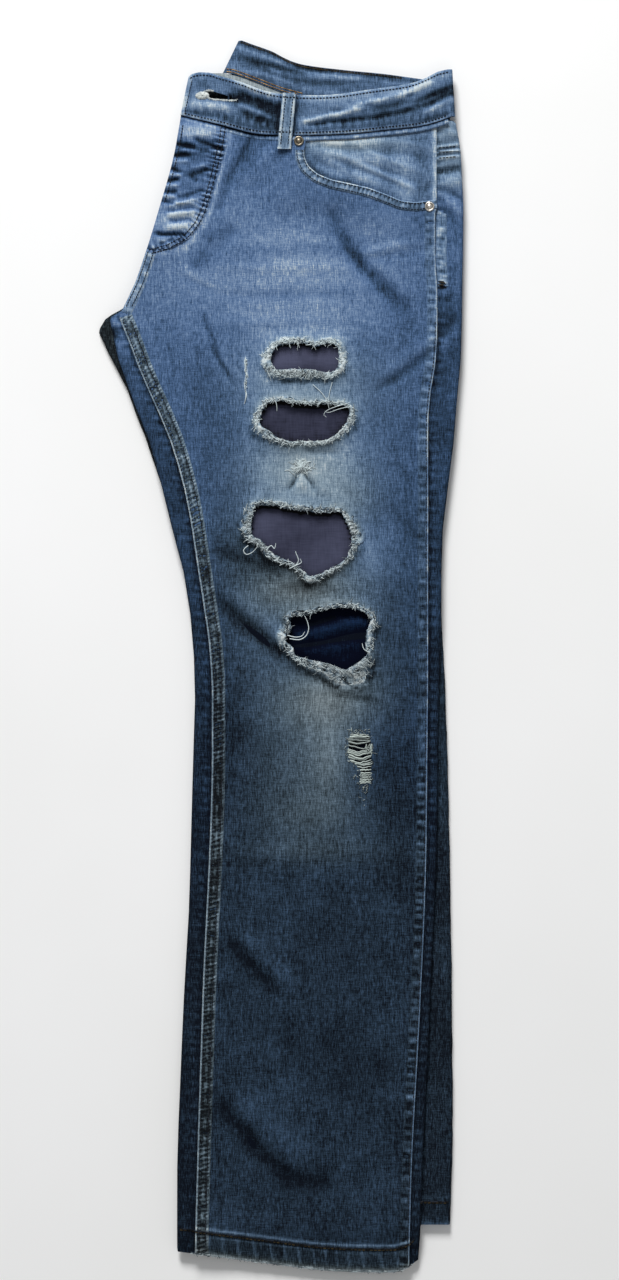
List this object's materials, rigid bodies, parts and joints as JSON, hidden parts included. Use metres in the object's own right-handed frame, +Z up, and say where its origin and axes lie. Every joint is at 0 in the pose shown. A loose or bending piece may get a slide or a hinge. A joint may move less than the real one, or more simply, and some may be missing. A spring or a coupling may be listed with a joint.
{
  "type": "ripped jeans",
  "caption": "Faded blue straight-leg jeans with frayed rips down one thigh and knee, folded in half lengthwise and lying flat, front of the upper leg facing up.",
  "frame": {"origin": "on the surface the folded jeans lie on, under the middle of their bounding box", "axes": "+Y along the leg towards the waist, +X towards the side seam of the upper leg, +Z up, out of the front face"},
  "size_m": [0.318, 1.074, 0.0163],
  "materials": {
    "denim_front": "washed blue denim, faded pale on the thigh and dark down the shin",
    "denim_back": "washed dark blue denim",
    "denim_inside": "pale inside face of the denim waistband",
    "denim_under": "dark blue denim",
    "lining": "smooth plum-grey cotton",
    "loose_yarn": "undyed cream cotton yarn",
    "aged_rivet": "aged dark bronze",
    "bright_rivet": "worn bright metal"
  },
  "bodies": {
    "root": {"right_half": "denim_under", "left_back": "denim_back", "left_yoke": "denim_back", "waistband_back": "denim_inside", "rip_backing": "lining", "pocket_facing": "denim_front", "left_front": "denim_front", "waistband_front": "denim_front", "belt_loop": "denim_front", "rivet_waist": "aged_rivet", "rivet_side": "bright_rivet", "rip_fray_1": "loose_yarn", "rip_fray_2": "loose_yarn", "rip_fray_3": "loose_yarn", "rip_fray_4": "loose_yarn", "ladder_threads": "loose_yarn"}
  },
  "joints": []
}
